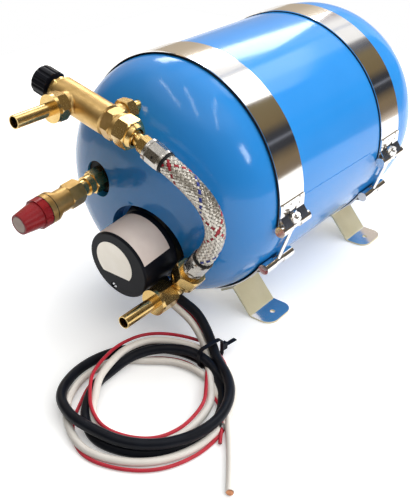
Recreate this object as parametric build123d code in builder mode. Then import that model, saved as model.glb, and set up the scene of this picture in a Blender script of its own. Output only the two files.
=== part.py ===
"""Horizontal water heater: an insulated casing strapped to four feet, with its front fittings.

The casing lies along Y, with its fittings on the end that faces -Y. The origin is on the floor,
in the middle of the four foot holes, and +Z is up.
"""
import os
from math import cos, radians, sin, sqrt, tan

from build123d import *

os.makedirs("parts", exist_ok=True)

# Fits and cuts
seat_gap = 0.1
running_gap = 0.3
overrun = 6
corner_cut = 0.7

# Casing: a round shell with two dished ends
casing_radius = 152.5
casing_wall = 4
casing_front_length = 131.7
casing_back_length = 163.8
knuckle_radius = 91.8
crown_radius = 314.5
floor_clearance = 9.1

# Clamp straps, with a thin liner under each
strap_spacing = 243.2
strap_width = 49.2
strap_thickness = 1.2
liner_thickness = 0.6
liner_gap = 0.3
liner_overhang = 1.2
pin_radius = 5.4
pin_head_length = 4
loop_bite = 0.3
upper_pin_angle = -8.6
lower_pin_angle = -30.7
fold_angle = 11
pinch_angle = 5.2
notch_width = 17
notch_lead_angle = 7
bolt_radius = 3
bolt_tail = 4
clamp_nut_flats = 10
clamp_nut_height = 6

# Feet: bent plate welded under each strap
foot_plate = 2.5
foot_width = 51.1
foot_web_spread = 37.9
foot_flange_length = 31.1
foot_hole_inset = 15.8
foot_hole_radius = 3.3
foot_corner_radius = 15
foot_bend_radius = 4
foot_lip_length = 23
foot_lip_angle = -58.5

# Hot outlet, up the front end, and the mixing valve that it carries
mixer_x_share = -0.004
mixer_rise_share = 0.706
mixer_tilt = 13.9
barrel_radius = 17.6
barrel_left = 69.5
barrel_right = 2
barrel_fillet = 3
neck_radius = 14.4
neck_flats = 32
neck_end = 22
collar_length = 5
collar_radius = 16.2
spindle_radius = 4.5
hot_branch_radius = 12
hot_branch_length = 22.5
hot_nut_flats = 27
hot_nut_length = 12.5
hot_nut_standoff = 8.7
nipple_radius = 8
nipple_inside = 18
gland_nut_flats = 24
gland_nut_length = 11
gland_nut_collar = 15
knob_radius = 17
knob_length = 21
knob_gap = 2.6
knob_dish = 2
knob_flute_radius = 2.6
knob_flute_count = 12

# Mixed-water outlet, forward of the barrel
outlet_offset = 49.2
boss_radius = 13.4
boss_reach = 20
pipe_radius = 7.5
pipe_wall = 1.2
pipe_grip = 0.5
pipe_socket = 9
outlet_nut_flats = 29
outlet_nut_length = 13
nut_ring_radius = 16
nut_ring_length = 4.5
outlet_stub_length = 48.5

# Union, braided hose and its crimped ends
union_flats = 32
union_hex_length = 17
union_shoulder_radius = 14.4
union_mouth_radius = 12.4
union_length = 22
ball_radius = 9.8
ball_inset = 7
ball_bore_depth = 12
tail_tilt = 23
tail_neck_radius = 7.5
tail_flats = 18
tail_hex_start = 14
tail_end = 25.5
ferrule_radius = 13.2
ferrule_flats = 24.4
ferrule_rim = 3.5
ferrule_length = 24
hose_radius = 11
hose_top_run = 31
hose_foot_run = 33
hose_bulge = 38
hose_bulge_rise = 13.5

# Cold inlet: a tee to the right of the heater, with its branch up to the hose
inlet_side = 54.8
inlet_drop = 32.3
tee_radius = 11
tee_run = 13
tee_rib_radius = 12.4
tee_rib_length = 3
branch_angle = 53
branch_length = 19.5
branch_nut_ring = 17
branch_nut_ring_length = 5
branch_nut_flats = 33
branch_nut_hex_length = 15
branch_nut_collar = 13
branch_nut_length = 24
inlet_nut_flats = 29
inlet_nut_length = 24
inlet_stub_length = 47.5
tank_nut_flats = 26
tank_nut_length = 7
tank_nut_standoff = 9

# Pressure relief valve, left of the middle, in a well with a rubber grommet
relief_x_share = -0.3515
relief_rise_share = 0.0754
relief_tilt = 4.6
relief_well_radius = 22
relief_well_depth = 15
grommet_thickness = 6
relief_nut_flats = 25
relief_nut_length = 21
relief_ring_radius = 11.8
relief_ring_length = 9
relief_neck_radius = 9.4
relief_neck_length = 11
relief_hex_flats = 27
relief_hex_length = 20
relief_body_radius = 13.8
relief_body_length = 19
relief_collar_radius = 18
relief_collar_length = 16
relief_lip_radius = 16
relief_lip_length = 4
relief_stem_radius = 4.5
relief_stem_length = 20
cap_base_radius = 18
cap_base_length = 10
cap_waist_radius = 16
cap_tip_radius = 12.2
cap_length = 35.5
cap_edge = 1.2
cap_groove_depth = 0.9
cap_groove_count = 10
cap_dish = 0.8

# Immersion heater, in a round well below the middle
heater_x_share = 0.1207
heater_rise_share = -0.366
heater_standoff = 1.6
heater_tilt = 6
heater_well_gap = 4.2
heater_well_depth = 20
flange_flats = 86
flange_thickness = 12
heater_cap_radius = 43.6
heater_cap_length = 54.5
heater_cap_edge = 2.4
cap_screw_side = 12.6
cap_screw_offset = 34
cap_screw_radius = 4.5
cap_screw_depth = 3
cable_exit_angle = -52
cable_exit_inset = 17.4
cable_exit_radius = 10.8
cable_exit_length = 7

# Leads: places in the cable exit, routes down to the coil on the floor, and the free tail
black_lead_diameter = 11.6
white_lead_diameter = 8.6
red_lead_diameter = 4
black_lead_place = (-3.6, -3.2)
white_lead_place = (5.2, 3.2)
red_lead_place = (-3.4, 6.4)
lead_first_run = 14
black_route = [(77, -224, 46.5), (92, -221, 38), (108, -225.5, 28), (126, -236.5, 20), (146, -252.5, 15)]
white_route = [(70, -233, 42), (88, -230, 31), (106, -234, 20), (125.5, -245, 12)]
red_route = [(68, -223, 38), (86, -219, 27), (104, -225, 16), (122, -237, 9)]
tail_route = [(210, -316, 6), (228, -336, 4.6), (248, -361, 4.6), (270, -392, 4.6)]
bend_share = 0.45
coil_x = 121
coil_reach = 336
coil_outer_x = 97
coil_outer_y = 105
coil_inner_x = 51
coil_inner_y = 72
coil_height = 24
coil_edge = 8
coil_lift = 2.2
tie_angle = 81
tie_width = 5
tie_band = 1.4
tie_gap = 0.6
tie_head_length = 9
tie_head_height = 6
tie_tail_length = 15

# Places that follow from the sizes
axis_height = casing_radius + floor_clearance
knuckle_place = casing_radius - knuckle_radius
dish_depth = crown_radius - sqrt((crown_radius - knuckle_radius) ** 2 - knuckle_place**2)
strap_inner = casing_radius + liner_gap + liner_thickness + liner_gap
strap_outer = strap_inner + strap_thickness
loop_inner = pin_radius + seat_gap
loop_outer = loop_inner + strap_thickness
pin_circle = strap_outer + loop_inner - loop_bite
pipe_root_radius = pipe_radius - pipe_grip
heater_well_radius = flange_flats / sqrt(3) + heater_well_gap
ball_seat = union_length - ball_inset
mixer_x = casing_radius * mixer_x_share
mixer_rise = casing_radius * mixer_rise_share
relief_x = casing_radius * relief_x_share
relief_rise = casing_radius * relief_rise_share
heater_x = casing_radius * heater_x_share
heater_rise = casing_radius * heater_rise_share
strap_places = {"front": -strap_spacing / 2, "back": strap_spacing / 2}


def front_plane(x, reach, height):
    """A plane facing forward: its x is +X, its y is up and its normal is -Y."""
    return Plane(origin=(x, -reach, height), x_dir=(1, 0, 0), z_dir=(0, -1, 0))


def cross_plane(origin, angle):
    """A plane whose normal lies across the casing, turned up from +X by an angle. Its x is forward."""
    normal = (cos(radians(angle)), 0, sin(radians(angle)))
    return Plane(origin=origin, x_dir=(0, -1, 0), z_dir=normal)


def polar(radius, angle):
    """A point on a circle round the origin of a plane."""
    return (radius * cos(radians(angle)), radius * sin(radians(angle)))


def sector(inner, outer, start, size):
    """A ring sector in the current sketch, between two radii."""
    with BuildLine() as outline:
        inside = CenterArc((0, 0), inner, start, size)
        outside = CenterArc((0, 0), outer, start, size)
        Line(inside @ 0, outside @ 0)
        Line(inside @ 1, outside @ 1)
    make_face(outline.edges())


def dish_reach(radius):
    """How far the dished end's skin stands out from the shell's rim, at a distance from the axis."""
    lean = knuckle_place / (crown_radius - knuckle_radius)
    if radius > crown_radius * lean:
        return sqrt(knuckle_radius**2 - (radius - knuckle_place) ** 2)
    return dish_depth - crown_radius + sqrt(crown_radius**2 - radius**2)


def fitting_plane(x, rise, standoff):
    """A plane facing forward at a place on the front end, standing off its skin."""
    reach = casing_front_length + dish_reach(sqrt(x**2 + rise**2)) + standoff
    return front_plane(x, reach, axis_height + rise)


def dish_face(inset):
    """Half the section of a dished end, set in from its outer skin. The plane's y points outward."""
    knuckle = knuckle_radius - inset
    crown = crown_radius - inset
    crown_centre = dish_depth - crown_radius
    lean = knuckle_place / (crown_radius - knuckle_radius)
    rise = sqrt(1 - lean**2)
    join = (crown * lean, crown_centre + crown * rise)
    with BuildLine() as outline:
        Line((0, 0), (casing_radius - inset, 0))
        RadiusArc((casing_radius - inset, 0), join, -knuckle)
        RadiusArc(join, (0, crown_centre + crown), -crown)
        Line((0, crown_centre + crown), (0, 0))
    make_face(outline.edges())


def rod(plane, start, end, radius):
    """A round bar along a plane's normal, in the current part."""
    with BuildSketch(plane.offset(start)) as section:
        Circle(radius)
    extrude(section.sketch, amount=end - start)


def bore(plane, start, end, radius):
    """A round hole along a plane's normal, in the current part."""
    with BuildSketch(plane.offset(start)) as section:
        Circle(radius)
    extrude(section.sketch, amount=end - start, mode=Mode.SUBTRACT)


def hexagon(plane, start, end, flats, sides=6):
    """A bar with flats along a plane's normal, its corners cut back at both ends, in the current part."""
    corner = flats / 2 / cos(radians(180 / sides))
    with BuildPart(mode=Mode.PRIVATE) as bar:
        rod(plane, start, end, corner)
        chamfer(bar.edges().filter_by(GeomType.CIRCLE), corner_cut * (corner - flats / 2))
        with BuildSketch(plane.offset(start)) as section:
            RegularPolygon(flats / 2, sides, major_radius=False)
        extrude(section.sketch, amount=end - start, mode=Mode.INTERSECT)
    add(bar.part)


def cone(plane, start, end, start_radius, end_radius):
    """A tapered bar along a plane's normal, in the current part."""
    with BuildSketch(plane.offset(start)) as first:
        Circle(start_radius)
    with BuildSketch(plane.offset(end)) as last:
        Circle(end_radius)
    loft([first.sketch, last.sketch])


def bend_radii(points):
    """The largest arcs that the runs of a route allow, one for each inner point."""
    radii = []
    for before, here, after in zip(points, points[1:], points[2:]):
        run_in = Vector(here) - Vector(before)
        run_out = Vector(after) - Vector(here)
        half_turn = radians(run_in.get_angle(run_out)) / 2
        radii.append(bend_share * min(run_in.length, run_out.length) / tan(half_turn))
    return radii


def tube(points, radius):
    """A round tube along straight runs and tangent arcs, in the current part."""
    radii = bend_radii(points)
    with BuildLine() as route:
        FilletPolyline(*points, radius=radii)
    with BuildSketch(Plane(origin=route.line @ 0, z_dir=route.line % 0)) as section:
        Circle(radius)
    sweep(section.sketch, path=route.line)
    length = sum(edge.length for edge in route.edges())
    print("bend radii", [round(value, 1) for value in radii], "length", round(length, 1))


# Planes of the fittings: each normal is the fitting's own axis
axis_plane = front_plane(0, 0, axis_height)
mixer_standoff = hot_branch_length + hot_nut_length + hot_nut_standoff
hot_plane = fitting_plane(mixer_x, mixer_rise, mixer_standoff)
mixer_plane = cross_plane(hot_plane.origin, -mixer_tilt)
outlet_origin = mixer_plane.from_local_coords((0, 0, -outlet_offset))
outlet_plane = Plane(origin=outlet_origin, x_dir=(1, 0, 0), z_dir=(0, -1, 0))
ball_centre = mixer_plane.from_local_coords((0, 0, neck_end + ball_seat))
tail_plane = cross_plane(ball_centre, -tail_tilt)
inlet_standoff = tee_run + tank_nut_length + tank_nut_standoff
inlet_plane = fitting_plane(heater_x + inlet_side, heater_rise - inlet_drop, inlet_standoff)
branch_plane = cross_plane(inlet_plane.origin, branch_angle)
relief_plane = fitting_plane(relief_x, relief_rise, 0).rotated((relief_tilt, 0, 0))
heater_plane = fitting_plane(heater_x, heater_rise, heater_standoff)
heater_plane = heater_plane.rotated((heater_tilt, 0, 0))
mixer_axis = Axis(mixer_plane.origin, mixer_plane.z_dir)
relief_axis = Axis(relief_plane.origin, relief_plane.z_dir)
heater_axis = Axis(heater_plane.origin, heater_plane.z_dir)
tank_axis = Axis((0, 0, axis_height), (0, 1, 0))
front_dish = Plane(origin=(0, -casing_front_length, axis_height), x_dir=(1, 0, 0), z_dir=(0, 0, -1))
back_dish = Plane(origin=(0, casing_back_length, axis_height), x_dir=(1, 0, 0), z_dir=(0, 0, 1))

# Casing shell
with BuildPart() as casing_shell:
    with BuildSketch(axis_plane.offset(casing_front_length)):
        Circle(casing_radius)
        Circle(casing_radius - casing_wall, mode=Mode.SUBTRACT)
    extrude(amount=-(casing_front_length + casing_back_length))
casing_shell.part.label = "casing_shell"
export_step(casing_shell.part, "parts/casing_shell.step")

# Space inside the front end, left solid behind the two wells
with BuildPart() as front_space:
    with BuildSketch(front_dish):
        dish_face(casing_wall)
    revolve(axis=tank_axis)
    for plane, depth, radius in (
        (heater_plane, heater_well_depth, heater_well_radius),
        (relief_plane, relief_well_depth, relief_well_radius),
    ):
        bore(plane, -depth - casing_wall, overrun + casing_wall, radius + casing_wall)

# Front end: dished, with wells for the heater and relief valve and holes for the pipes
with BuildPart() as front_end:
    with BuildSketch(front_dish):
        dish_face(0)
    revolve(axis=tank_axis)
    add(front_space.part, mode=Mode.SUBTRACT)
    bore(heater_plane, -heater_well_depth, overrun + heater_well_depth, heater_well_radius)
    bore(relief_plane, -relief_well_depth, overrun + relief_well_depth, relief_well_radius)
    bore(relief_plane, -relief_well_depth - casing_wall - overrun, overrun, nipple_radius + seat_gap)
    bore(hot_plane, -mixer_standoff - casing_radius, 0, nipple_radius + seat_gap)
    bore(inlet_plane, -inlet_standoff - casing_radius, 0, nipple_radius + seat_gap)
front_end.part.label = "front_end"
export_step(front_end.part, "parts/front_end.step")

# Back end: plain
with BuildPart() as back_end:
    with BuildSketch(back_dish):
        dish_face(0)
    revolve(axis=tank_axis)
    with BuildSketch(back_dish):
        dish_face(casing_wall)
    revolve(axis=tank_axis, mode=Mode.SUBTRACT)
back_end.part.label = "back_end"
export_step(back_end.part, "parts/back_end.step")

# Clamp straps with their liners, folded ends, trunnion pins and bolts
strap_turn = 360 + lower_pin_angle - upper_pin_angle
strap_ends = ((upper_pin_angle, 1), (lower_pin_angle, -1))
upper_pin = polar(pin_circle, upper_pin_angle)
lower_pin = polar(pin_circle, lower_pin_angle)
bolt_angle = 90 + (upper_pin_angle + lower_pin_angle) / 2
bolt_span = 2 * pin_circle * sin(radians(upper_pin_angle - lower_pin_angle) / 2)
for place, strap_y in strap_places.items():
    strap_plane = front_plane(0, -strap_y, axis_height)

    with BuildPart() as liner:
        with BuildSketch(strap_plane):
            sector(casing_radius + liner_gap, strap_inner - liner_gap, upper_pin_angle, strap_turn)
        extrude(amount=strap_width / 2 + liner_overhang, both=True)
    liner.part.label = place + "_strap_liner"
    export_step(liner.part, "parts/" + liner.part.label + ".step")

    with BuildPart() as strap:
        with BuildSketch(strap_plane):
            sector(strap_inner, strap_outer, upper_pin_angle, strap_turn)
            for pin_angle, turn in strap_ends:
                sector(
                    strap_outer,
                    strap_outer + strap_thickness,
                    pin_angle + turn * pinch_angle,
                    turn * (fold_angle - pinch_angle),
                )
        extrude(amount=strap_width / 2, both=True)
        for pin_angle, turn in strap_ends:
            for radius, pinch, mode in (
                (loop_outer, strap_thickness, Mode.ADD),
                (loop_inner, strap_thickness / 4, Mode.SUBTRACT),
            ):
                with BuildSketch(strap_plane):
                    with Locations(polar(pin_circle, pin_angle)):
                        Circle(radius)
                    with Locations(polar(strap_outer, pin_angle + turn * pinch_angle)):
                        Circle(pinch)
                    make_hull()
                extrude(amount=strap_width / 2, both=True, mode=mode)
            with BuildSketch(strap_plane):
                sector(
                    strap_outer,
                    pin_circle + loop_outer + overrun,
                    pin_angle - turn * notch_lead_angle,
                    2 * turn * notch_lead_angle,
                )
            extrude(amount=notch_width / 2, both=True, mode=Mode.SUBTRACT)
        bore(strap_plane, -strap_width, strap_width, strap_inner)
    strap.part.label = place + "_strap"
    export_step(strap.part, "parts/" + strap.part.label + ".step")

    bolt_normal = (cos(radians(bolt_angle)), 0, sin(radians(bolt_angle)))
    bolt_origin = strap_plane.from_local_coords((lower_pin[0], lower_pin[1], 0))
    bolt_plane = Plane(origin=bolt_origin, x_dir=(0, 1, 0), z_dir=bolt_normal)
    for level, pin in (("upper", upper_pin), ("lower", lower_pin)):
        pin_plane = Plane(
            origin=strap_plane.from_local_coords((pin[0], pin[1], 0)),
            x_dir=(1, 0, 0),
            z_dir=(0, -1, 0),
        )
        half_length = strap_width / 2 + seat_gap + pin_head_length
        with BuildPart() as trunnion:
            rod(pin_plane, -half_length, half_length, pin_radius)
            for head in (-half_length, half_length - pin_head_length):
                rod(pin_plane, head, head + pin_head_length, loop_outer)
            bolt_hole = pin_radius + overrun
            bore(bolt_plane, -bolt_hole, bolt_span + bolt_hole, bolt_radius + seat_gap)
        trunnion.part.label = place + "_" + level + "_trunnion"
        export_step(trunnion.part, "parts/" + trunnion.part.label + ".step")

    nut_seat = bolt_span + pin_radius + seat_gap
    with BuildPart() as clamp_bolt:
        rod(bolt_plane, -pin_radius, nut_seat + clamp_nut_height + bolt_tail, bolt_radius)
        hexagon(bolt_plane, nut_seat, nut_seat + clamp_nut_height, clamp_nut_flats)
    clamp_bolt.part.label = place + "_clamp_bolt"
    export_step(clamp_bolt.part, "parts/" + clamp_bolt.part.label + ".step")

# Feet: a lip under the strap, a leaning web and a flange on the floor with one hole
lip_radius = strap_outer + seat_gap
lip_middle = Vector(*polar(lip_radius, foot_lip_angle)) + Vector(0, axis_height)
lip_along = Vector(*polar(foot_lip_length / 2, foot_lip_angle + 90))
foot_bend_reach = lip_middle.X + foot_web_spread
foot_hole_reach = foot_bend_reach + foot_hole_inset
for place, strap_y in strap_places.items():
    for side_name, side in (("right", 1), ("left", -1)):
        foot_plane = Plane(origin=(0, strap_y, 0), x_dir=(side, 0, 0), z_dir=(0, -side, 0))
        with BuildPart() as foot:
            with BuildSketch(foot_plane):
                with BuildLine():
                    FilletPolyline(
                        lip_middle - lip_along,
                        lip_middle + lip_along,
                        (foot_bend_reach, foot_plate),
                        (foot_bend_reach + foot_flange_length, foot_plate),
                        radius=foot_bend_radius,
                    )
                    offset(amount=foot_plate, side=Side.RIGHT)
                make_face()
            extrude(amount=foot_width / 2, both=True)
            outer_end = foot.faces().sort_by(Axis.X)[-1 if side > 0 else 0]
            fillet(outer_end.edges().filter_by(Axis.Z), foot_corner_radius)
            with BuildSketch(Plane.XY):
                with Locations((side * foot_hole_reach, strap_y)):
                    Circle(foot_hole_radius)
            extrude(amount=foot_plate + overrun, mode=Mode.SUBTRACT)
        foot.part.label = place + "_" + side_name + "_foot"
        export_step(foot.part, "parts/" + foot.part.label + ".step")

# Mixing valve body: a cast barrel with a neck, an outlet boss, the branch to the tank and a spindle
gland_start = -barrel_left - gland_nut_length
knob_start = gland_start - knob_gap
knob_end = knob_start - knob_length
spindle_end = knob_start - knob_length / 2
with BuildPart() as mixer_body:
    rod(mixer_plane, -barrel_left, barrel_right, barrel_radius)
    rod(outlet_plane, 0, boss_reach, boss_radius)
    fillet(mixer_body.edges().filter_by(GeomType.BSPLINE), barrel_fillet)
    cone(mixer_plane, barrel_right, barrel_right + barrel_fillet, barrel_radius, neck_radius)
    rod(mixer_plane, barrel_right, neck_end, neck_radius)
    hexagon(mixer_plane, barrel_right + barrel_fillet, neck_end - collar_length, neck_flats)
    rod(mixer_plane, neck_end - collar_length, neck_end, collar_radius)
    rod(hot_plane, -hot_branch_length, 0, hot_branch_radius)
    rod(mixer_plane, spindle_end, -barrel_left, spindle_radius)
    bore(outlet_plane, boss_reach - pipe_socket, boss_reach, pipe_root_radius + seat_gap)
mixer_body.part.label = "mixer_body"
export_step(mixer_body.part, "parts/mixer_body.step")

# Hot outlet: a nipple out of the tank with its hexagon nut against the valve's branch
hot_nut_start = -hot_branch_length - hot_nut_length
with BuildPart() as hot_outlet_nut:
    hexagon(hot_plane, hot_nut_start, -hot_branch_length, hot_nut_flats)
    rod(hot_plane, hot_nut_start - nipple_inside - nipple_radius, hot_nut_start, nipple_radius)
hot_outlet_nut.part.label = "hot_outlet_nut"
export_step(hot_outlet_nut.part, "parts/hot_outlet_nut.step")

# Gland nut on the left end of the valve body
gland_step = gland_start + gland_nut_length / 2
with BuildPart() as mixer_gland_nut:
    hexagon(mixer_plane, gland_start, gland_step, gland_nut_flats)
    rod(mixer_plane, gland_step, -barrel_left, gland_nut_collar)
    bore(mixer_plane, gland_start, -barrel_left, spindle_radius + seat_gap)
mixer_gland_nut.part.label = "mixer_gland_nut"
export_step(mixer_gland_nut.part, "parts/mixer_gland_nut.step")

# Control knob: fluted, dished at its end, turning on the spindle
with BuildPart() as mixer_knob:
    rod(mixer_plane, knob_end, knob_start, knob_radius)
    fillet(mixer_knob.edges().sort_by(mixer_axis)[0], knob_dish)
    with BuildSketch(mixer_plane.offset(knob_end)):
        with PolarLocations(knob_radius + knob_flute_radius / 2, knob_flute_count):
            Circle(knob_flute_radius)
    extrude(amount=knob_length, mode=Mode.SUBTRACT)
    bore(mixer_plane, knob_end, knob_end + knob_dish, knob_radius - 2 * knob_flute_radius)
    bore(mixer_plane, spindle_end - running_gap, knob_start, spindle_radius + running_gap)
mixer_knob.part.label = "mixer_knob"
export_step(mixer_knob.part, "parts/mixer_knob.step")


def pipe_nut(plane, start, length, flats):
    """A compression nut in the current part: a hexagon, then a ring round the pipe."""
    hexagon(plane, start, start + length, flats)
    rod(plane, start + length, start + length + nut_ring_length, nut_ring_radius)
    bore(plane, start, start + length + nut_ring_length, pipe_root_radius + seat_gap)


def pipe_stub(plane, socket_mouth, nut_length, length):
    """An open pipe in the current part, squeezed a little where its nut grips it."""
    nut_face = socket_mouth + nut_length + nut_ring_length
    rod(plane, socket_mouth - pipe_socket + seat_gap, nut_face, pipe_root_radius)
    rod(plane, nut_face, nut_face + length, pipe_radius)
    bore(plane, socket_mouth - pipe_socket, nut_face + length + overrun, pipe_radius - pipe_wall)


# Mixed-water outlet: compression nut and pipe stub
with BuildPart() as outlet_nut:
    pipe_nut(outlet_plane, boss_reach, outlet_nut_length, outlet_nut_flats)
outlet_nut.part.label = "outlet_nut"
export_step(outlet_nut.part, "parts/outlet_nut.step")

with BuildPart() as outlet_stub:
    pipe_stub(outlet_plane, boss_reach, outlet_nut_length, outlet_stub_length)
outlet_stub.part.label = "outlet_stub"
export_step(outlet_stub.part, "parts/outlet_stub.step")

# Union nut and the hose tail that swivels in its mouth
union_shoulder = neck_end + union_hex_length
union_mouth = neck_end + union_length
ball_bore_start = neck_end + ball_seat - ball_bore_depth
with BuildPart() as hose_union_nut:
    hexagon(mixer_plane, neck_end, union_shoulder, union_flats)
    cone(mixer_plane, union_shoulder, union_mouth, union_shoulder_radius, union_mouth_radius)
    bore(mixer_plane, ball_bore_start, union_mouth + overrun, ball_radius + seat_gap)
hose_union_nut.part.label = "hose_union_nut"
export_step(hose_union_nut.part, "parts/hose_union_nut.step")

with BuildPart() as hose_tail:
    with Locations(tail_plane.location):
        Sphere(ball_radius)
    rod(tail_plane, 0, tail_hex_start, tail_neck_radius)
    hexagon(tail_plane, tail_hex_start, tail_end, tail_flats)
hose_tail.part.label = "hose_tail"
export_step(hose_tail.part, "parts/hose_tail.step")


def ferrule(plane, start):
    """A crimped sleeve in the current part: round rims with flats pressed between them."""
    rod(plane, start, start + ferrule_rim, ferrule_radius)
    hexagon(plane, start + ferrule_rim, start + ferrule_length - ferrule_rim, ferrule_flats, 8)
    rod(plane, start + ferrule_length - ferrule_rim, start + ferrule_length, ferrule_radius)


with BuildPart() as upper_ferrule:
    ferrule(tail_plane, tail_end)
upper_ferrule.part.label = "upper_ferrule"
export_step(upper_ferrule.part, "parts/upper_ferrule.step")

# Braided hose from the mixing valve down to the tee
lower_ferrule_start = branch_length + branch_nut_length
hose_top = tail_plane.from_local_coords((0, 0, tail_end + ferrule_length))
hose_foot = branch_plane.from_local_coords((0, 0, lower_ferrule_start + ferrule_length))
hose_middle = (hose_top + hose_foot) / 2 + Vector(hose_bulge, 0, hose_bulge_rise)
hose_points = [
    hose_top,
    hose_top + tail_plane.z_dir * hose_top_run,
    hose_middle,
    hose_foot + branch_plane.z_dir * hose_foot_run,
    hose_foot,
]
with BuildPart() as braided_hose:
    tube(hose_points, hose_radius)
braided_hose.part.label = "braided_hose"
export_step(braided_hose.part, "parts/braided_hose.step")

with BuildPart() as lower_ferrule:
    ferrule(branch_plane, lower_ferrule_start)
lower_ferrule.part.label = "lower_ferrule"
export_step(lower_ferrule.part, "parts/lower_ferrule.step")

branch_nut_hex = branch_length + branch_nut_ring_length
with BuildPart() as branch_nut:
    rod(branch_plane, branch_length, branch_nut_hex, branch_nut_ring)
    hexagon(branch_plane, branch_nut_hex, branch_nut_hex + branch_nut_hex_length, branch_nut_flats)
    rod(branch_plane, branch_nut_hex + branch_nut_hex_length, lower_ferrule_start, branch_nut_collar)
branch_nut.part.label = "branch_nut"
export_step(branch_nut.part, "parts/branch_nut.step")

# Inlet tee with its nuts and pipe stub
with BuildPart() as inlet_tee:
    rod(inlet_plane, -tee_run, tee_run, tee_radius)
    rod(branch_plane, 0, branch_length, tee_radius)
    rod(inlet_plane, tee_run - tee_rib_length, tee_run, tee_rib_radius)
    rod(inlet_plane, -tee_run, tee_rib_length - tee_run, tee_rib_radius)
    rod(branch_plane, branch_length - tee_rib_length, branch_length, tee_rib_radius)
    bore(inlet_plane, tee_run - pipe_socket, tee_run, pipe_root_radius + seat_gap)
inlet_tee.part.label = "inlet_tee"
export_step(inlet_tee.part, "parts/inlet_tee.step")

with BuildPart() as inlet_tank_nut:
    hexagon(inlet_plane, -tee_run - tank_nut_length, -tee_run, tank_nut_flats)
    rod(inlet_plane, -tee_run - tank_nut_length - nipple_inside - nipple_radius, -tee_run, nipple_radius)
inlet_tank_nut.part.label = "inlet_tank_nut"
export_step(inlet_tank_nut.part, "parts/inlet_tank_nut.step")

with BuildPart() as inlet_nut:
    pipe_nut(inlet_plane, tee_run, inlet_nut_length, inlet_nut_flats)
inlet_nut.part.label = "inlet_nut"
export_step(inlet_nut.part, "parts/inlet_nut.step")

with BuildPart() as inlet_stub:
    pipe_stub(inlet_plane, tee_run, inlet_nut_length, inlet_stub_length)
inlet_stub.part.label = "inlet_stub"
export_step(inlet_stub.part, "parts/inlet_stub.step")

# Relief valve: grommet in the well, nipple, body and twist cap
relief_nut_start = -relief_well_depth + grommet_thickness
relief_ring_start = relief_nut_start + relief_nut_length
relief_neck_start = relief_ring_start + relief_ring_length
relief_hex_start = relief_neck_start + relief_neck_length
relief_body_start = relief_hex_start + relief_hex_length
relief_collar_start = relief_body_start + relief_body_length
relief_lip_end = relief_collar_start + relief_lip_length
relief_collar_end = relief_collar_start + relief_collar_length
with BuildPart() as relief_grommet:
    rod(relief_plane, -relief_well_depth, relief_nut_start, relief_well_radius - seat_gap)
    bore(relief_plane, -relief_well_depth, relief_nut_start, nipple_radius + seat_gap)
relief_grommet.part.label = "relief_grommet"
export_step(relief_grommet.part, "parts/relief_grommet.step")

with BuildPart() as relief_nipple:
    rod(relief_plane, -relief_well_depth - nipple_inside, relief_nut_start, nipple_radius)
    hexagon(relief_plane, relief_nut_start, relief_ring_start, relief_nut_flats)
    rod(relief_plane, relief_ring_start, relief_neck_start, relief_ring_radius)
    rod(relief_plane, relief_neck_start, relief_hex_start, relief_neck_radius)
relief_nipple.part.label = "relief_nipple"
export_step(relief_nipple.part, "parts/relief_nipple.step")

with BuildPart() as relief_body:
    hexagon(relief_plane, relief_hex_start, relief_body_start, relief_hex_flats)
    rod(relief_plane, relief_body_start, relief_collar_start, relief_body_radius)
    rod(relief_plane, relief_collar_start, relief_lip_end, relief_lip_radius)
    rod(relief_plane, relief_lip_end, relief_collar_end, relief_collar_radius)
    rod(relief_plane, relief_collar_end, relief_collar_end + relief_stem_length, relief_stem_radius)
relief_body.part.label = "relief_body"
export_step(relief_body.part, "parts/relief_body.step")

cap_start = relief_collar_end + running_gap
cap_shoulder = cap_start + cap_base_length
cap_end = cap_start + cap_length
with BuildPart() as relief_cap:
    rod(relief_plane, cap_start, cap_shoulder, cap_base_radius)
    cone(relief_plane, cap_shoulder, cap_end, cap_waist_radius, cap_tip_radius)
    fillet(relief_cap.edges().sort_by(relief_axis)[-1], cap_edge)
    with BuildSketch(relief_plane.offset(cap_start)):
        with PolarLocations(cap_base_radius, cap_groove_count):
            Circle(cap_groove_depth)
    extrude(amount=cap_base_length, mode=Mode.SUBTRACT)
    bore(relief_plane, cap_end - cap_dish, cap_end, cap_tip_radius - 2 * cap_edge)
    bore(relief_plane, cap_start, cap_start + relief_stem_length, relief_stem_radius + running_gap)
relief_cap.part.label = "relief_cap"
export_step(relief_cap.part, "parts/relief_cap.step")

# Immersion heater: a hexagon flange in the well, a round cap over it and the cable exit below
flange_front = -heater_well_depth + flange_thickness
heater_cap_end = flange_front + heater_cap_length
with BuildPart() as heater_flange:
    hexagon(heater_plane, -heater_well_depth, flange_front, flange_flats)
heater_flange.part.label = "heater_flange"
export_step(heater_flange.part, "parts/heater_flange.step")

with BuildPart() as heater_cap:
    rod(heater_plane, flange_front, heater_cap_end, heater_cap_radius)
    fillet(heater_cap.edges().sort_by(heater_axis)[-1], heater_cap_edge)
    with BuildSketch(heater_plane.offset(heater_cap_end)):
        with Locations((-cap_screw_side, -cap_screw_offset)):
            Circle(cap_screw_radius)
    extrude(amount=-cap_screw_depth, mode=Mode.SUBTRACT)
heater_cap.part.label = "heater_cap"
export_step(heater_cap.part, "parts/heater_cap.step")

exit_across = Vector(*polar(1, cable_exit_angle))
exit_origin = heater_plane.from_local_coords((0, 0, flange_front + cable_exit_inset))
exit_normal = heater_plane.x_dir * exit_across.X + heater_plane.y_dir * exit_across.Y
exit_plane = Plane(origin=exit_origin, x_dir=heater_plane.z_dir, z_dir=exit_normal)
exit_end = heater_cap_radius + cable_exit_length
with BuildPart() as cable_exit:
    rod(exit_plane, heater_cap_radius - cable_exit_radius, exit_end, cable_exit_radius)
    bore(heater_plane, flange_front - overrun, heater_cap_end, heater_cap_radius + seat_gap)
cable_exit.part.label = "cable_exit"
export_step(cable_exit.part, "parts/cable_exit.step")

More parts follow.
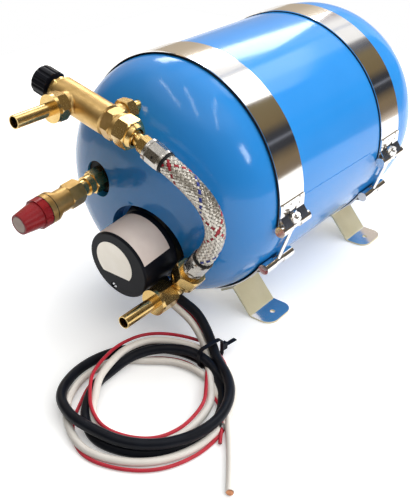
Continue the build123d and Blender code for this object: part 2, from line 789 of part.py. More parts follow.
# Coil of the three leads, lying on the floor, as one soft ring
with BuildPart() as cable_coil:
    with BuildSketch(Plane.XY.offset(coil_lift)):
        with Locations((coil_x, -coil_reach)):
            Ellipse(coil_outer_x, coil_outer_y)
            Ellipse(coil_inner_x, coil_inner_y, mode=Mode.SUBTRACT)
    extrude(amount=coil_height)
    fillet(cable_coil.edges(), coil_edge)
cable_coil.part.label = "cable_coil"
export_step(cable_coil.part, "parts/cable_coil.step")

# Leads from the cable exit to the coil
leads = (
    ("black_lead", black_lead_place, black_lead_diameter, black_route),
    ("white_lead", white_lead_place, white_lead_diameter, white_route),
    ("red_lead", red_lead_place, red_lead_diameter, red_route),
)
for name, place, diameter, route in leads:
    start = exit_plane.from_local_coords((*place, exit_end))
    below = exit_plane.from_local_coords((*place, exit_end + lead_first_run))
    with BuildPart() as lead:
        tube([start, below, *route], diameter / 2)
        add(cable_coil.part, mode=Mode.SUBTRACT)
    lead.part.label = name
    export_step(lead.part, "parts/" + name + ".step")

# Tie round the coil, with its head and cut end outside
def ellipse_radius(half_x, half_y, angle):
    """The distance from an ellipse's middle to its edge, at an angle from +X."""
    across = Vector(*polar(1, angle))
    return half_x * half_y / sqrt((half_y * across.X) ** 2 + (half_x * across.Y) ** 2)


tie_out = Vector(*polar(1, tie_angle))
tie_outer = ellipse_radius(coil_outer_x, coil_outer_y, tie_angle)
tie_inner = ellipse_radius(coil_inner_x, coil_inner_y, tie_angle)
coil_middle = Vector(coil_x, -coil_reach, coil_lift + coil_height / 2)
tie_middle = coil_middle + tie_out * (tie_outer + tie_inner) / 2
tie_plane = Plane(origin=tie_middle, x_dir=tie_out, z_dir=(tie_out.Y, -tie_out.X, 0))
tie_long = tie_outer - tie_inner + 2 * tie_gap
tie_high = coil_height + 2 * tie_gap
with BuildPart() as cable_tie:
    with BuildSketch(tie_plane):
        RectangleRounded(tie_long + 2 * tie_band, tie_high + 2 * tie_band, coil_edge)
        RectangleRounded(tie_long, tie_high, coil_edge - tie_band, mode=Mode.SUBTRACT)
        with Locations((tie_long / 2 + tie_band, 0)):
            Rectangle(tie_head_height, tie_head_length, align=(Align.MIN, Align.CENTER))
        with Locations((tie_long / 2 + tie_band + tie_head_height, 0)):
            Rectangle(tie_tail_length, tie_band, align=(Align.MIN, Align.CENTER))
    extrude(amount=tie_width / 2, both=True)
cable_tie.part.label = "cable_tie"
export_step(cable_tie.part, "parts/cable_tie.step")

# Free end of the white lead, out of the coil
with BuildPart() as white_tail:
    tube([Vector(*point) for point in tail_route], white_lead_diameter / 2)
    add(cable_coil.part, mode=Mode.SUBTRACT)
white_tail.part.label = "white_tail"
export_step(white_tail.part, "parts/white_tail.step")
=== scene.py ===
"""The looks of a horizontal water heater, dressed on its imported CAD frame. All lengths are in metres."""
from math import cos, pi, radians, sin, sqrt

import bpy
from mathutils import Matrix, Vector


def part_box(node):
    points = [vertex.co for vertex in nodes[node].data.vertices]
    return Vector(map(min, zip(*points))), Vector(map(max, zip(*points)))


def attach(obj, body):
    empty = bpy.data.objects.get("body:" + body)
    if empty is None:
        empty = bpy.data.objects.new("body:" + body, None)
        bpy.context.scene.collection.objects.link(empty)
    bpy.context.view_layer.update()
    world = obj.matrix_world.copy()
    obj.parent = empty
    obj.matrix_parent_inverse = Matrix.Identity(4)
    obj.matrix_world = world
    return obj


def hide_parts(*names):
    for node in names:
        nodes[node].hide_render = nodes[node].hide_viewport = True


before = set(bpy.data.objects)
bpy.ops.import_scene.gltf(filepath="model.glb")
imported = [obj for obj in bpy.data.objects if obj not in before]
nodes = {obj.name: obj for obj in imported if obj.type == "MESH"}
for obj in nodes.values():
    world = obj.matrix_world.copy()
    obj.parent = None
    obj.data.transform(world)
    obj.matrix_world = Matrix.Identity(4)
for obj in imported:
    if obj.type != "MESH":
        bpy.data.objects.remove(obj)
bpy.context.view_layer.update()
scene = bpy.context.scene

# Camera at the photo's view
camera_place = Vector((0.5655, -0.7922, 0.5643))
camera_forward = Vector((-0.53945, 0.66969, -0.51040))
camera_right = Vector((0.78194, 0.62330, -0.00862))
camera_lens = 54.73
camera_sensor = 36

# Places on the part that the pieces here sit on
casing_radius = 0.1525
casing_height = 0.1616
heater_place = Vector((0.018407, -0.227992, 0.105785))
heater_axis = Vector((0, -0.994522, -0.104528))
heater_cap_radius = 0.0436
heater_cap_front = 0.0465
cap_screw_place = (-0.0126, -0.034)
relief_place = Vector((-0.053604, -0.227117, 0.173099))
relief_axis = Vector((0, -0.996779, -0.080199))
relief_tip = 0.1228
strap_reach = 0.1216

# Braided hose: the part's route, and the woven strands over its tube
hose_route = [
    (0.08087, -0.25428, 0.24104),
    (0.10941, -0.25428, 0.22892),
    (0.13535, -0.24466, 0.19771),
    (0.13369, -0.23504, 0.15375),
    (0.11383, -0.23504, 0.12739),
]
hose_tube_radius = 0.0101
strand_count = 14
strand_width = 0.0029
strand_lay = 0.082
strand_radius = 0.01045
strand_lift = 0.00045
strand_step = 0.0012
wire_height = 0.0005

# Across a strand, in shares of half its width and of a wire's height: three wires side by side
wire_shares = [(-1, 0), (-0.67, 1), (-0.33, 0.2), (0, 1), (0.33, 0.2), (0.67, 1), (1, 0)]

# Coloured strands by winding direction and number: 1 is red, 2 is blue
tracer_strands = {(1, 2): 1, (1, 9): 2, (-1, 5): 1}

# Leads: the part's routes, then (reach, height) in the coil at each eighth of a turn, clockwise
coil_middle = Vector((0.121, -0.336, 0))
first_station = 45
station_step = 45
black_diameter = 0.0116
black_route = [
    (0.0521, -0.2298, 0.0675),
    (0.0607, -0.2287, 0.0565),
    (0.077, -0.224, 0.0465),
    (0.092, -0.221, 0.038),
    (0.108, -0.2255, 0.028),
    (0.126, -0.2365, 0.02),
    (0.146, -0.2525, 0.015),
]
black_turns = [
    [(0.086, 0.018), (0.091, 0.018), (0.0905, 0.0185), (0.0865, 0.0185)],
    [(0.1, 0.014), (0.089, 0.01), (0.082, 0.006), (0.08, 0.006)],
    [(0.077, 0.0065), (0.086, 0.006), (0.089, 0.006), (0.088, 0.006)],
    [(0.068, 0.008), (0.06, 0.008), (0.066, 0.015), (0.075, 0.017)],
    [(0.082, 0.0075)],
]
white_diameter = 0.0086
white_route = [
    (0.047, -0.2381, 0.0626),
    (0.0556, -0.237, 0.0516),
    (0.07, -0.233, 0.042),
    (0.088, -0.23, 0.031),
    (0.106, -0.234, 0.02),
    (0.1255, -0.245, 0.012),
]
white_turns = [
    [(0.066, 0.007), (0.068, 0.007), (0.078, 0.006), (0.079, 0.005)],
    [(0.06, 0.0135), (0.062, 0.018), (0.084, 0.0165), (0.095, 0.007)],
    [(0.092, 0.005), (0.091, 0.005), (0.1, 0.005), (0.105, 0.0055)],
    [(0.091, 0.008), (0.079, 0.005), (0.058, 0.005), (0.062, 0.005)],
    [(0.07, 0.005)],
]
white_tail = [
    (0.195, -0.302, 0.006),
    (0.21, -0.316, 0.006),
    (0.228, -0.336, 0.0046),
    (0.248, -0.361, 0.0046),
    (0.27, -0.392, 0.0046),
]
cut_end_route = [(0.2699, -0.3918, 0.0046), (0.2702, -0.3922, 0.0046), (0.2704, -0.3926, 0.0046)]
cut_end_radius = 0.0036
red_diameter = 0.004
red_route = [
    (0.0445, -0.2294, 0.0616),
    (0.0531, -0.2282, 0.0506),
    (0.068, -0.223, 0.038),
    (0.086, -0.219, 0.027),
    (0.104, -0.225, 0.016),
    (0.122, -0.237, 0.009),
]
red_turns = [
    [(0.06, 0.01), (0.061, 0.009), (0.072, 0.009), (0.0745, 0.0125)],
    [(0.066, 0.019), (0.073, 0.019), (0.098, 0.016), (0.107, 0.008)],
    [(0.086, 0.0024), (0.096, 0.0024), (0.109, 0.0024), (0.11, 0.0024)],
    [(0.077, 0.0026), (0.07, 0.0024), (0.067, 0.0024), (0.07, 0.0024)],
    [(0.064, 0.0024)],
]
red_tail = [
    (0.19, -0.304, 0.006),
    (0.205, -0.319, 0.011),
    (0.214, -0.332, 0.006),
    (0.223, -0.346, 0.0024),
]
red_clip_route = [(0.2110, -0.3276, 0.0077), (0.2124, -0.3298, 0.0070), (0.2138, -0.3319, 0.0063)]
red_clip_radius = 0.0032

# Labels on the heater cap, with angles in degrees
label_lift = 0.00025
label_start = 0.0
label_end = 0.0435
label_first = 18
label_last = 178
label_steps = 40
face_label_middle = (-0.005, 0.003)
face_label_radius = 0.0275
face_label_end = 42
face_label_steps = 48

# The cap's screw head in two halves, and the disc in the relief cap's tip
screw_radius = 0.0034
screw_turns = (40, 220)
screw_slot_angle = 15
screw_steps = 18
screw_sink = 0.0028
screw_rise = 0.0012
tip_radius = 0.0094
tip_sink = 0.0007
tip_corners = 36

# Dark rings on the relief valve's collar: a seal, and a black band that is painted shade in a groove; and
# black sleeves at the hose's ends
tube_roundness = 24
ring_radius = 0.01815
ring_width = 0.0009
ring_places = [("relief_seal", 0.0863), ("relief_groove_shade", 0.0785)]
sleeve_radius = 0.0119
sleeve_length = 0.003

# Painted shade in dimples pressed in the ferrules: black discs on the side that faces out
dimple_shade_radius = 0.0014
dimple_shade_height = 0.00015
dimple_shade_sink = 0.0006
dimple_way = Vector((0.2, -0.9, 0.2)).normalized()
small_corners = 12

# Moulding seam: a wavy bead on the casing's right side, between the straps
seam_radius = 0.0006
seam_start = -0.088
seam_length = 0.16
seam_height = 0.1612
seam_drop = 0.0036
seam_wave = 0.0007
seam_wave_step = 2.3
seam_steps = 28

# Spot welds on a strap's folded ends, from the strap's middle
weld_radius = 0.0014
weld_height = 0.0003
weld_places = [
    (0.1560, -0.020, 0.1672),
    (0.1561, -0.0037, 0.1634),
    (0.1561, 0.0151, 0.1665),
    (0.1561, 0.0147, 0.1589),
]

# Floor
floor_half = 1.05
floor_glow = 0.28
floor_tint = (1, 0.995, 0.98, 1)
floor_bounce = (0.5, 0.5, 0.5)

# Lamps: the two directions from the part that each spans, its width, and its power in watts
light_aim = Vector((0, 0, 0.16))
light_distance = 1.6
lamps = [
    ("overhead", (-0.02, 0.7, 1), (0.46, 0.7, 1), 1.0, 3),
    ("window", (-0.2, 0.8, 0.56), (-0.68, 0.3, 0.7), 0.34, 8),
    ("left_tube", (-0.47, -0.2, 0.87), (-0.04, -0.6, 0.84), 0.02, 0.65),
    ("middle_tube", (-0.12, -0.2, 0.98), (0.24, -0.55, 0.83), 0.02, 0.65),
    ("right_tube", (0.27, -0.03, 0.95), (0.52, -0.45, 0.74), 0.02, 0.65),
    ("side_window", (0.79, -0.18, 0.52), (0.92, -0.14, 0.33), 0.18, 2),
]

# The room that shiny metal mirrors: behind the part by the angle round its length, and before the part
# by the angle of rise
back_bands = [
    (-28, (0.95, 0.92, 0.88)),
    (-18, (0.62, 0.52, 0.42)),
    (-9, (0.20, 0.15, 0.10)),
    (1, (0.22, 0.16, 0.09)),
    (9, (0.12, 0.09, 0.055)),
    (14, (0.02, 0.024, 0.034)),
    (20, (0.03, 0.032, 0.04)),
    (22, (0.26, 0.28, 0.34)),
    (24, (0.02, 0.024, 0.034)),
    (29, (0.03, 0.032, 0.04)),
    (38, (0.18, 0.13, 0.06)),
    (60, (0.20, 0.155, 0.08)),
    (69, (0.11, 0.12, 0.15)),
    (76, (0.24, 0.24, 0.26)),
    (79, (1.0, 1.0, 1.0)),
    (97, (1.0, 1.0, 1.0)),
    (100, (0.58, 0.63, 0.74)),
    (103, (1.0, 1.0, 1.0)),
    (110, (1.0, 1.0, 1.0)),
    (121, (0.5, 0.46, 0.48)),
    (134, (0.86, 0.74, 0.58)),
    (152, (0.58, 0.48, 0.36)),
    (180, (0.5, 0.42, 0.32)),
]
front_bands = [
    (-10, (0.6, 0.58, 0.55)),
    (4, (0.10, 0.085, 0.065)),
    (24, (0.15, 0.13, 0.10)),
    (42, (0.35, 0.32, 0.28)),
    (56, (1.0, 0.98, 0.95)),
    (90, (0.8, 0.79, 0.77)),
]
bands_meet = 0.3

# Soft light of the room, by the cosine of the angle to the side that it comes from
soft_way = (0.4, 0.9, 0.5)
soft_levels = [(-1, (0.02, 0.02, 0.02)), (-0.2, (0.05, 0.05, 0.05)), (1, (2.2, 2.2, 2.2))]


# Shader nodes
mix_first = 6
mix_second = 7
mix_result = 2
noise_low = 0.3
noise_high = 0.7
patch_detail = 3.0
grain_detail = 2.0
grain_depth = 0.0004


def add_node(tree, kind, inputs=(), **settings):
    """A shader node with settings, and inputs that are numbers, colours or other nodes' outputs."""
    made = tree.nodes.new(kind)
    for name, value in settings.items():
        setattr(made, name, value)
    for name, value in dict(inputs).items():
        if isinstance(value, bpy.types.NodeSocket):
            tree.links.new(value, made.inputs[name])
        else:
            made.inputs[name].default_value = value
    return made


def blend(tree, factor, first, second):
    """A mix of two colours or outputs by a factor."""
    made = add_node(tree, "ShaderNodeMix", {"Factor": factor}, data_type="RGBA")
    for number, value in ((mix_first, first), (mix_second, second)):
        if isinstance(value, bpy.types.NodeSocket):
            tree.links.new(value, made.inputs[number])
        else:
            made.inputs[number].default_value = (*value, 1)
    return made.outputs[mix_result]


def noise(tree, scale, detail):
    """Noise in object space."""
    place = add_node(tree, "ShaderNodeTexCoord").outputs["Object"]
    texture = add_node(tree, "ShaderNodeTexNoise", {"Vector": place, "Scale": scale, "Detail": detail})
    return texture.outputs["Fac"]


def spread(tree, value, low=0.0, high=1.0):
    """The middle of a noise, spread over a range."""
    made = add_node(
        tree,
        "ShaderNodeMapRange",
        {"Value": value, "From Min": noise_low, "From Max": noise_high, "To Min": low, "To Max": high},
    )
    return made.outputs["Result"]


def finish(name, dark, light, rough, patch, metallic=0.0, specular=0.5, grain=900, bump=0.1):
    """A procedural finish: colour in patches, roughness between two levels, and a fine grain in relief."""
    made = bpy.data.materials.new(name)
    made.use_nodes = True
    tree = made.node_tree
    shader = tree.nodes["Principled BSDF"]
    shader.inputs["Metallic"].default_value = metallic
    shader.inputs["Specular IOR Level"].default_value = specular
    patches = spread(tree, noise(tree, patch, patch_detail))
    tree.links.new(blend(tree, patches, dark, light), shader.inputs["Base Color"])
    fine = noise(tree, grain, grain_detail)
    tree.links.new(spread(tree, fine, *rough), shader.inputs["Roughness"])
    relief = add_node(
        tree, "ShaderNodeBump", {"Height": fine, "Strength": bump, "Distance": grain_depth}
    )
    tree.links.new(relief.outputs["Normal"], shader.inputs["Normal"])
    return made


# Finishes: dark and light colour, roughness, then what differs from plain plastic
blue_casing = finish(
    "blue_casing", (0.022, 0.27, 0.74), (0.028, 0.30, 0.80), (0.1, 0.15),
    patch=7, grain=420, bump=0.04,
)
polished_steel = finish(
    "polished_steel", (0.84, 0.82, 0.79), (0.90, 0.88, 0.86), (0.08, 0.13),
    metallic=1.0, patch=20, bump=0.001,
)
# Satin steel for the feet, with a cream tint that is a painted warm reflection
satin_steel_painted_reflection = finish(
    "satin_steel_painted_reflection", (0.76, 0.69, 0.46), (0.84, 0.77, 0.54), (0.3, 0.42),
    metallic=0.4, patch=40, bump=0.06,
)
ferrule_steel = finish(
    "ferrule_steel", (0.42, 0.40, 0.37), (0.55, 0.52, 0.48), (0.18, 0.3),
    metallic=1.0, patch=90, bump=0.06,
)
zinc_steel = finish(
    "zinc_steel", (0.55, 0.56, 0.58), (0.72, 0.73, 0.75), (0.2, 0.35),
    metallic=1.0, patch=300, grain=3000,
)
wire_steel = finish(
    "wire_steel", (0.50, 0.47, 0.42), (0.72, 0.68, 0.61), (0.24, 0.38),
    metallic=1.0, patch=300, grain=2500,
)
brass = finish(
    "brass", (0.70, 0.47, 0.17), (0.80, 0.58, 0.25), (0.16, 0.28),
    metallic=1.0, patch=60, grain=1500, bump=0.05,
)
cast_brass = finish(
    "cast_brass", (0.50, 0.32, 0.11), (0.68, 0.46, 0.19), (0.3, 0.46),
    metallic=1.0, patch=70, grain=1100, bump=0.3,
)
copper = finish(
    "copper", (0.45, 0.19, 0.09), (0.6, 0.28, 0.15), (0.25, 0.4),
    metallic=1.0, patch=300, grain=3000,
)
dark_flange = finish(
    "dark_flange", (0.016, 0.015, 0.011), (0.03, 0.028, 0.02), (0.4, 0.55),
    specular=0.3, patch=60, bump=0.15,
)
black_plastic = finish(
    "black_plastic", (0.005, 0.006, 0.010), (0.009, 0.010, 0.016), (0.3, 0.4),
    specular=0.12, patch=40, grain=1600,
)
red_plastic = finish(
    "red_plastic", (0.26, 0.006, 0.011), (0.37, 0.010, 0.017), (0.2, 0.3),
    specular=0.35, patch=60, grain=1400,
)
black_rubber = finish(
    "black_rubber", (0.006, 0.006, 0.007), (0.012, 0.012, 0.013), (0.5, 0.65),
    specular=0.3, patch=60, bump=0.2,
)
tracer_red = finish(
    "tracer_red", (0.40, 0.015, 0.03), (0.55, 0.03, 0.05), (0.4, 0.5),
    patch=200, grain=2500,
)
tracer_blue = finish(
    "tracer_blue", (0.012, 0.03, 0.24), (0.03, 0.06, 0.38), (0.4, 0.5),
    patch=200, grain=2500,
)
black_cable = finish(
    "black_cable", (0.005, 0.006, 0.010), (0.009, 0.011, 0.017), (0.3, 0.42),
    specular=0.15, patch=50, grain=1300,
)
white_cable = finish(
    "white_cable", (0.85, 0.79, 0.71), (0.91, 0.86, 0.79), (0.35, 0.45),
    patch=50, grain=1300, bump=0.06,
)
red_cable = finish(
    "red_cable", (0.5, 0.012, 0.03), (0.62, 0.02, 0.045), (0.32, 0.42),
    patch=50, grain=1300,
)
label_white = finish(
    "label_white", (0.78, 0.65, 0.58), (0.84, 0.72, 0.64), (0.38, 0.5),
    patch=50, grain=1200,
)
foil_cream = finish(
    "foil_cream", (0.88, 0.82, 0.72), (0.93, 0.88, 0.79), (0.32, 0.4),
    metallic=0.6, patch=50, grain=1200,
)
tip_beige = finish(
    "tip_beige", (0.55, 0.40, 0.33), (0.66, 0.50, 0.42), (0.4, 0.5),
    patch=90, grain=1200,
)

# Finishes on the CAD nodes
strap_names = ["strap", "upper_trunnion", "lower_trunnion", "clamp_bolt"]
foot_names = ["front_right_foot", "front_left_foot", "back_right_foot", "back_left_foot"]
brass_names = [
    "hot_outlet_nut",
    "mixer_gland_nut",
    "outlet_nut",
    "outlet_stub",
    "hose_union_nut",
    "hose_tail",
    "branch_nut",
    "inlet_tee",
    "inlet_tank_nut",
    "inlet_nut",
    "inlet_stub",
    "relief_nipple",
]
node_finishes = [
    (blue_casing, ["casing_shell", "front_end", "back_end"]),
    (polished_steel, [end + name for end in ("front_", "back_") for name in strap_names]),
    (satin_steel_painted_reflection, foot_names),
    (ferrule_steel, ["upper_ferrule", "lower_ferrule"]),
    (dark_flange, ["heater_flange"]),
    # The relief grommet's black rubber is partly the grommet's own colour and partly painted shade of the
    # hole in the relief well
    (black_rubber, ["front_strap_liner", "back_strap_liner", "relief_grommet", "cable_exit"]),
    (cast_brass, ["mixer_body", "relief_body"]),
    (brass, brass_names),
    (black_plastic, ["mixer_knob", "heater_cap", "cable_tie"]),
    (red_plastic, ["relief_cap"]),
    (wire_steel, ["braided_hose"]),
    (black_cable, ["black_lead", "cable_coil"]),
    (white_cable, ["white_lead", "white_tail"]),
    (red_cable, ["red_lead"]),
]
for material, names in node_finishes:
    for name in names:
        mesh = nodes[name].data
        mesh.materials.clear()
        mesh.materials.append(material)

# The feet's level faces are polished; their other faces are satin steel with a cream tint that is a
# painted warm reflection
level_share = 0.98
for name in foot_names:
    mesh = nodes[name].data
    mesh.materials.append(polished_steel)
    for polygon in mesh.polygons:
        polygon.material_index = int(polygon.normal.z > level_share)


# Pieces
curve_steps = 8
curve_order = 3


def put(name, data, body="heater"):
    """A new object in the scene that moves with a CAD body."""
    made = bpy.data.objects.new(name, data)
    scene.collection.objects.link(made)
    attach(made, body)
    return made


def mesh_piece(name, points, faces, materials, body="heater", smooth=True):
    """A mesh object from points and faces."""
    mesh = bpy.data.meshes.new(name)
    mesh.from_pydata(points, [], faces)
    for material in materials:
        mesh.materials.append(material)
    if smooth:
        mesh.shade_smooth()
    mesh.validate()
    return put(name, mesh, body)


def route_curve(name, points, radius, material=None, roundness=5):
    """Curve data of one NURBS spline with these control points, round in section."""
    curve = bpy.data.curves.new(name, "CURVE")
    curve.dimensions = "3D"
    curve.resolution_u = curve_steps
    curve.bevel_depth = radius
    curve.bevel_resolution = roundness
    curve.use_fill_caps = True
    spline = curve.splines.new("NURBS")
    spline.points.add(len(points) - 1)
    for place, point in zip(points, spline.points):
        point.co = (*place, 1)
    spline.order_u = curve_order
    spline.use_endpoint_u = True
    if material:
        curve.materials.append(material)
    return curve


def short_tube(name, start, way, radius):
    """A short straight tube of black rubber."""
    points = [start + way * share for share in (0, 0.5, 1)]
    return put(name, route_curve(name, points, radius, black_rubber, tube_roundness))


def arc(centre, radius, first, last, steps):
    """Points on an arc, with its angles in degrees."""
    angles = [radians(first + (last - first) * step / steps) for step in range(steps + 1)]
    return [(centre[0] + radius * cos(angle), centre[1] + radius * sin(angle)) for angle in angles]


def circle(radius, corners):
    """The corners of a circle's outline."""
    return arc((0, 0), radius, 0, 360, corners)[:-1]


def flat_piece(frame_here, outline, low, high):
    """Points and faces of a flat piece: an outline drawn out along its frame's axis."""
    count = len(outline)
    points = [frame_here @ Vector((x, y, low)) for x, y in outline]
    points += [frame_here @ Vector((x, y, high)) for x, y in outline]
    faces = [tuple(range(count, 2 * count)), tuple(reversed(range(count)))]
    for index in range(count):
        after = (index + 1) % count
        faces.append((index, after, count + after, count + index))
    return points, faces


def local_frame(place, axis):
    """A matrix at a place whose z follows an axis, whose x is across the part and whose y is up."""
    across = Vector((1, 0, 0))
    up = axis.cross(across)
    return Matrix.Translation(place) @ Matrix((across, up, axis)).transposed().to_4x4()


# Leads
def coil_points(turns):
    """Points round the coil, two to each station of the turns."""
    stations = [station for part in turns for station in part]
    points = []
    for count in range(2 * len(stations) - 1):
        before = stations[count // 2]
        after = stations[(count + 1) // 2]
        reach = (before[0] + after[0]) / 2
        height = (before[1] + after[1]) / 2
        angle = radians(first_station - count * station_step / 2)
        points.append(coil_middle + Vector((reach * cos(angle), reach * sin(angle), height)))
    return points


black_points = black_route + coil_points(black_turns)
white_points = white_route + coil_points(white_turns) + white_tail
red_points = red_route + coil_points(red_turns) + red_tail
black_cord = put("black_cord", route_curve("black_cord", black_points, black_diameter / 2, black_cable))
white_cord = put("white_cord", route_curve("white_cord", white_points, white_diameter / 2, white_cable))
red_cord = put("red_cord", route_curve("red_cord", red_points, red_diameter / 2, red_cable))
cut_end = put("white_cut_end", route_curve("white_cut_end", cut_end_route, cut_end_radius, copper))
red_clip = put("red_clip", route_curve("red_clip", red_clip_route, red_clip_radius, zinc_steel))
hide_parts("black_lead", "cable_coil")
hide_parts("white_lead", "white_tail")
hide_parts("red_lead")


# Braided hose
end_margin = 1e-9


def route_points(route, step):
    """Evenly spaced points along the spline of a route, each with its reach and direction."""
    line = bpy.data.objects.new("route_line", route_curve("route_line", route, 0))
    scene.collection.objects.link(line)
    mesh = bpy.data.meshes.new_from_object(line.evaluated_get(bpy.context.evaluated_depsgraph_get()))
    places = [vertex.co.copy() for vertex in mesh.vertices]
    bpy.data.objects.remove(line)
    bpy.data.meshes.remove(mesh)
    spans = [(after - before).length for before, after in zip(places, places[1:])]
    total = sum(spans)
    count = round(total / step)
    points = []
    index = 0
    passed = 0.0
    for number in range(count + 1):
        reach = min(number * total / count, total - end_margin)
        while passed + spans[index] < reach:
            passed += spans[index]
            index += 1
        share = (reach - passed) / spans[index]
        direction = (places[index + 1] - places[index]).normalized()
        points.append((reach, places[index].lerp(places[index + 1], share), direction))
    return points


def hose_frames():
    """Places along the hose, with the direction there and two ways across that don't twist."""
    line = route_points(hose_route, strand_step)
    across = line[0][2].orthogonal().normalized()
    frames = []
    for reach, place, direction in line:
        across = (across - direction * across.dot(direction)).normalized()
        frames.append((reach, place, direction, across, direction.cross(across)))
    return frames


def strand_mesh():
    """Woven strands round the hose, each a flat bundle of three wires."""
    frames = hose_frames()
    lean = strand_lay / (2 * pi * strand_radius)
    along_share = lean / sqrt(1 + lean**2)
    round_share = 1 / sqrt(1 + lean**2)
    row_length = len(wire_shares)
    points = []
    faces = []
    finishes = []
    for turn in (1, -1):
        for strand in range(strand_count):
            first = len(points)
            for reach, place, direction, side, up in frames:
                angle = turn * 2 * pi * reach / strand_lay + 2 * pi * strand / strand_count
                outward = side * cos(angle) + up * sin(angle)
                round_way = up * cos(angle) - side * sin(angle)
                over = turn * strand_lift * cos(pi * 2 * strand_count * reach / strand_lay)
                cross = round_way * along_share - direction * (turn * round_share)
                for share, height in wire_shares:
                    out = strand_radius + over + height * wire_height
                    points.append(place + outward * out + cross * (share * strand_width / 2))
            tracer = tracer_strands.get((turn, strand), 0)
            for row in range(len(frames) - 1):
                for column in range(row_length - 1):
                    corner = first + row * row_length + column
                    faces.append((corner, corner + 1, corner + row_length + 1, corner + row_length))
                    finishes.append(tracer)
    return points, faces, finishes


hose_tube = put("hose_tube", route_curve("hose_tube", hose_route, hose_tube_radius, black_rubber))
strand_points, strand_faces, strand_finishes = strand_mesh()
hose_braid = mesh_piece("hose_braid", strand_points, strand_faces, [wire_steel, tracer_red, tracer_blue])
for polygon, finish_number in zip(hose_braid.data.polygons, strand_finishes):
    polygon.material_index = finish_number
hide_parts("braided_hose")


# Labels, screw and cap tip
heater_frame = local_frame(heater_place, heater_axis)
relief_frame = local_frame(relief_place, relief_axis)


def wrapped_label():
    """A thin bare label round the upper side of the heater cap."""
    points = []
    for step in range(label_steps + 1):
        angle = radians(label_first + (label_last - label_first) * step / label_steps)
        for reach in (label_start, label_end):
            for radius in (heater_cap_radius, heater_cap_radius + label_lift):
                local = Vector((radius * cos(angle), radius * sin(angle), reach))
                points.append(heater_frame @ local)
    faces = []
    for step in range(label_steps):
        a = 4 * step
        b = a + 4
        faces.append((a + 1, a + 3, b + 3, b + 1))
        faces.append((a, a + 1, b + 1, b))
        faces.append((a + 3, a + 2, b + 2, b + 3))
        faces.append((a, b, b + 2, a + 2))
    last = 4 * label_steps
    faces.append((0, 2, 3, 1))
    faces.append((last, last + 1, last + 3, last + 2))
    return points, faces


cap_label = mesh_piece("cap_label", *wrapped_label(), [label_white], smooth=False)

face_outline = arc(
    face_label_middle, face_label_radius, -face_label_end, 180 + face_label_end, face_label_steps
)
face_data = flat_piece(heater_frame, face_outline, heater_cap_front, heater_cap_front + label_lift)
front_label = mesh_piece("front_label", *face_data, [foil_cream], smooth=False)

screw_frame = heater_frame @ Matrix.Translation((*cap_screw_place, heater_cap_front))
for turn in screw_turns:
    half_outline = arc(
        (0, 0), screw_radius, turn + screw_slot_angle, turn + 180 - screw_slot_angle, screw_steps
    )
    half_data = flat_piece(screw_frame, half_outline, -screw_sink, -screw_rise)
    half = mesh_piece("cap_screw_half", *half_data, [zinc_steel], smooth=False)

tip_data = flat_piece(relief_frame, circle(tip_radius, tip_corners), relief_tip - tip_sink, relief_tip)
tip_disc = mesh_piece("relief_tip_disc", *tip_data, [tip_beige], "twist_cap", smooth=False)

# Rings on the relief collar, one of them painted shade in a groove; black discs of painted shade in the
# ferrules' dimples; and sleeves on the fittings
# Black rubber rings; the groove's ring is painted shade
for name, reach in ring_places:
    ring = short_tube(name, relief_place + relief_axis * reach, relief_axis * ring_width, ring_radius)

for name in ("upper_ferrule", "lower_ferrule"):
    low, high = [Vector(corner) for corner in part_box(name)]
    outside = (low + high) / 2 + dimple_way * (high - low).length
    seat, normal = nodes[name].ray_cast(outside, -dimple_way)[1:3]
    dimple_frame = Matrix.Translation(seat) @ normal.to_track_quat("Z", "Y").to_matrix().to_4x4()
    dimple_shade_outline = circle(dimple_shade_radius, small_corners)
    dimple_shade_data = flat_piece(dimple_frame, dimple_shade_outline, -dimple_shade_sink, dimple_shade_height)
    # Painted shade: a black disc stands for the shade in the pressed dimple
    dimple_shade = mesh_piece(name + "_dimple", *dimple_shade_data, [black_rubber], smooth=False)

for name, place, towards in (
    ("upper_hose_sleeve", hose_route[0], hose_route[1]),
    ("lower_hose_sleeve", hose_route[-1], hose_route[-2]),
):
    way = (Vector(towards) - Vector(place)).normalized() * sleeve_length
    sleeve = short_tube(name, Vector(place), way, sleeve_radius)

# Seam on the casing, and welds on the straps
seam_points = []
for step in range(seam_steps + 1):
    share = step / seam_steps
    height = seam_height - seam_drop * share + seam_wave * sin(seam_wave_step * step)
    out = sqrt(casing_radius**2 - (height - casing_height) ** 2)
    seam_points.append((out, seam_start + seam_length * share, height))
seam = put("casing_seam", route_curve("casing_seam", seam_points, seam_radius, blue_casing))

for strap in (-strap_reach, strap_reach):
    for x, y, z in weld_places:
        weld_frame = Matrix.Translation((x, y + strap, z)) @ Matrix.Rotation(radians(90), 4, "Y")
        weld_data = flat_piece(weld_frame, circle(weld_radius, small_corners), -weld_height, weld_height)
        weld = mesh_piece("strap_weld", *weld_data, [ferrule_steel], smooth=False)


# Stage: floor, lamps, room and camera
def seen_rays(tree):
    """One for rays that show a surface: from the camera, off metal or through glass."""
    paths = add_node(tree, "ShaderNodeLightPath")
    total = paths.outputs["Is Camera Ray"]
    for name in ("Is Glossy Ray", "Is Transmission Ray"):
        joined = add_node(tree, "ShaderNodeMath", operation="MAXIMUM")
        tree.links.new(total, joined.inputs[0])
        tree.links.new(paths.outputs[name], joined.inputs[1])
        total = joined.outputs["Value"]
    return total


def white_floor():
    """A matt white floor that looks white where it is lit, and keeps its shadows."""
    made = finish(
        "white_floor", (0.94, 0.94, 0.93), (0.96, 0.96, 0.95), (0.6, 0.7), patch=3, grain=80, bump=0.02
    )
    tree = made.node_tree
    shader = tree.nodes["Principled BSDF"]
    shader.inputs["Emission Color"].default_value = floor_tint
    seen = seen_rays(tree)
    plain = shader.inputs["Base Color"].links[0].from_socket
    tree.links.new(blend(tree, seen, floor_bounce, plain), shader.inputs["Base Color"])
    glow = add_node(tree, "ShaderNodeMapRange", {"Value": seen, "To Max": floor_glow})
    tree.links.new(glow.outputs["Result"], shader.inputs["Emission Strength"])
    return made


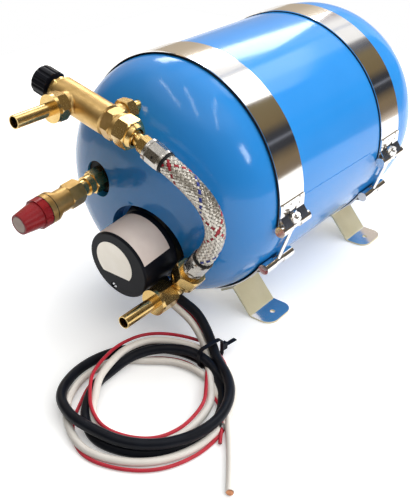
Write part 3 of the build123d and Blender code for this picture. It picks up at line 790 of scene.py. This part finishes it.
def area_light(name, first, last, width, power):
    """A lamp that spans two directions from the part, and faces it."""
    ends = [light_aim + Vector(way).normalized() * light_distance for way in (first, last)]
    middle = (ends[0] + ends[1]) / 2
    along = (ends[1] - ends[0]).normalized()
    away = (middle - light_aim).normalized()
    away = (away - along * away.dot(along)).normalized()
    data = bpy.data.lights.new(name, "AREA")
    data.shape = "RECTANGLE"
    data.size = (ends[1] - ends[0]).length
    data.size_y = width
    data.energy = power
    made = bpy.data.objects.new(name, data)
    scene.collection.objects.link(made)
    axes = Matrix((along, away.cross(along), away)).transposed().to_4x4()
    made.matrix_world = Matrix.Translation(middle) @ axes


def ramp(tree, value, stops):
    """A colour ramp over the range of its stops."""
    low = stops[0][0]
    high = stops[-1][0]
    share = add_node(tree, "ShaderNodeMapRange", {"Value": value, "From Min": low, "From Max": high})
    made = add_node(tree, "ShaderNodeValToRGB", {"Fac": share.outputs["Result"]})
    elements = made.color_ramp.elements
    while len(elements) < len(stops):
        elements.new(1)
    for element, (place, colour) in zip(elements, stops):
        element.position = (place - low) / (high - low)
        element.color = (*colour, 1)
    return made.outputs["Color"]


def studio_world():
    """A plain room: soft light on the part, white to the camera, with bands that shiny metal mirrors."""
    world = bpy.data.worlds.new("studio")
    scene.world = world
    world.use_nodes = True
    tree = world.node_tree
    paths = add_node(tree, "ShaderNodeLightPath")
    way = add_node(tree, "ShaderNodeTexCoord").outputs["Generated"]
    parts = add_node(tree, "ShaderNodeSeparateXYZ", {"Vector": way})
    turn = add_node(tree, "ShaderNodeMath", operation="ARCTAN2")
    tree.links.new(parts.outputs["Z"], turn.inputs[0])
    tree.links.new(parts.outputs["X"], turn.inputs[1])
    rise = add_node(tree, "ShaderNodeMath", operation="ARCSINE")
    tree.links.new(parts.outputs["Z"], rise.inputs[0])
    turn_stops = [(radians(place), colour) for place, colour in back_bands]
    rise_stops = [(radians(place), colour) for place, colour in front_bands]
    behind = ramp(tree, turn.outputs["Value"], turn_stops)
    before = ramp(tree, rise.outputs["Value"], rise_stops)
    back_share = add_node(
        tree, "ShaderNodeMapRange", {"Value": parts.outputs["Y"], "From Max": bands_meet}
    )
    shine = blend(tree, back_share.outputs["Result"], before, behind)
    facing = add_node(tree, "ShaderNodeVectorMath", operation="DOT_PRODUCT")
    tree.links.new(way, facing.inputs[0])
    facing.inputs[1].default_value = Vector(soft_way).normalized()
    soft = ramp(tree, facing.outputs["Value"], soft_levels)
    lit = blend(tree, paths.outputs["Is Glossy Ray"], soft, shine)
    seen = blend(tree, paths.outputs["Is Camera Ray"], lit, (1, 1, 1))
    tree.links.new(seen, tree.nodes["Background"].inputs["Color"])


floor_mesh = bpy.data.meshes.new("floor")
floor_corners = [(x * floor_half, y * floor_half, 0) for x, y in ((-1, -1), (1, -1), (1, 1), (-1, 1))]
floor_mesh.from_pydata(floor_corners, [], [(0, 1, 2, 3)])
floor_mesh.materials.append(white_floor())
floor = bpy.data.objects.new("floor", floor_mesh)
scene.collection.objects.link(floor)

for lamp in lamps:
    area_light(*lamp)
studio_world()

camera_data = bpy.data.cameras.new("photo_view")
camera_data.lens = camera_lens
camera_data.sensor_width = camera_sensor
camera = bpy.data.objects.new("photo_view", camera_data)
scene.collection.objects.link(camera)
camera_up = camera_right.cross(camera_forward)
camera.matrix_world = (
    Matrix.Translation(camera_place)
    @ Matrix((camera_right, camera_up, -camera_forward)).transposed().to_4x4()
)
scene.camera = camera
scene.view_settings.view_transform = "Standard"
